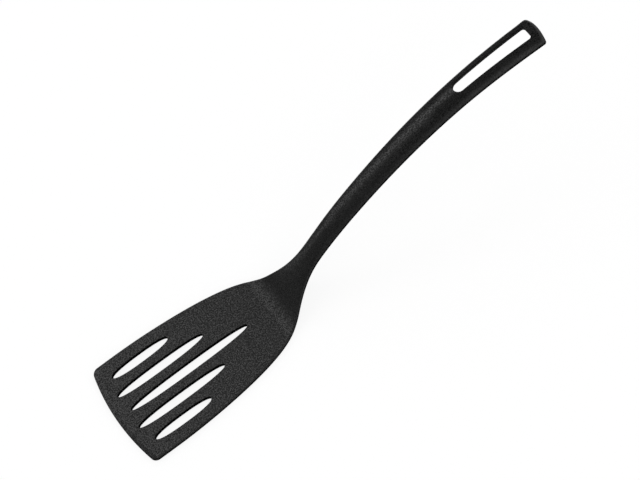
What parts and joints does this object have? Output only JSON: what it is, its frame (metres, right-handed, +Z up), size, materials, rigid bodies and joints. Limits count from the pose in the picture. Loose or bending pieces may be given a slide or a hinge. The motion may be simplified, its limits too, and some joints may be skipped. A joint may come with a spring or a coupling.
{
  "type": "grill spatula",
  "caption": "One-piece moulded slotted turner: flat tapering blade with long drain slots, cranked neck, bowed channel-section handle and a long hanging slot.",
  "frame": {"origin": "middle of the bounding box, on the flat underside of the blade", "axes": "+X along the part from the blade's front edge to the end of the handle, +Z up from the blade's flat underside, +Y to the left of someone looking along +X"},
  "size_m": [0.32, 0.0754, 0.073],
  "materials": {
    "black_nylon": "satin black moulded nylon with a fine spark-eroded grain"
  },
  "bodies": {
    "root": {"slotted_turner": "black_nylon"}
  },
  "joints": []
}
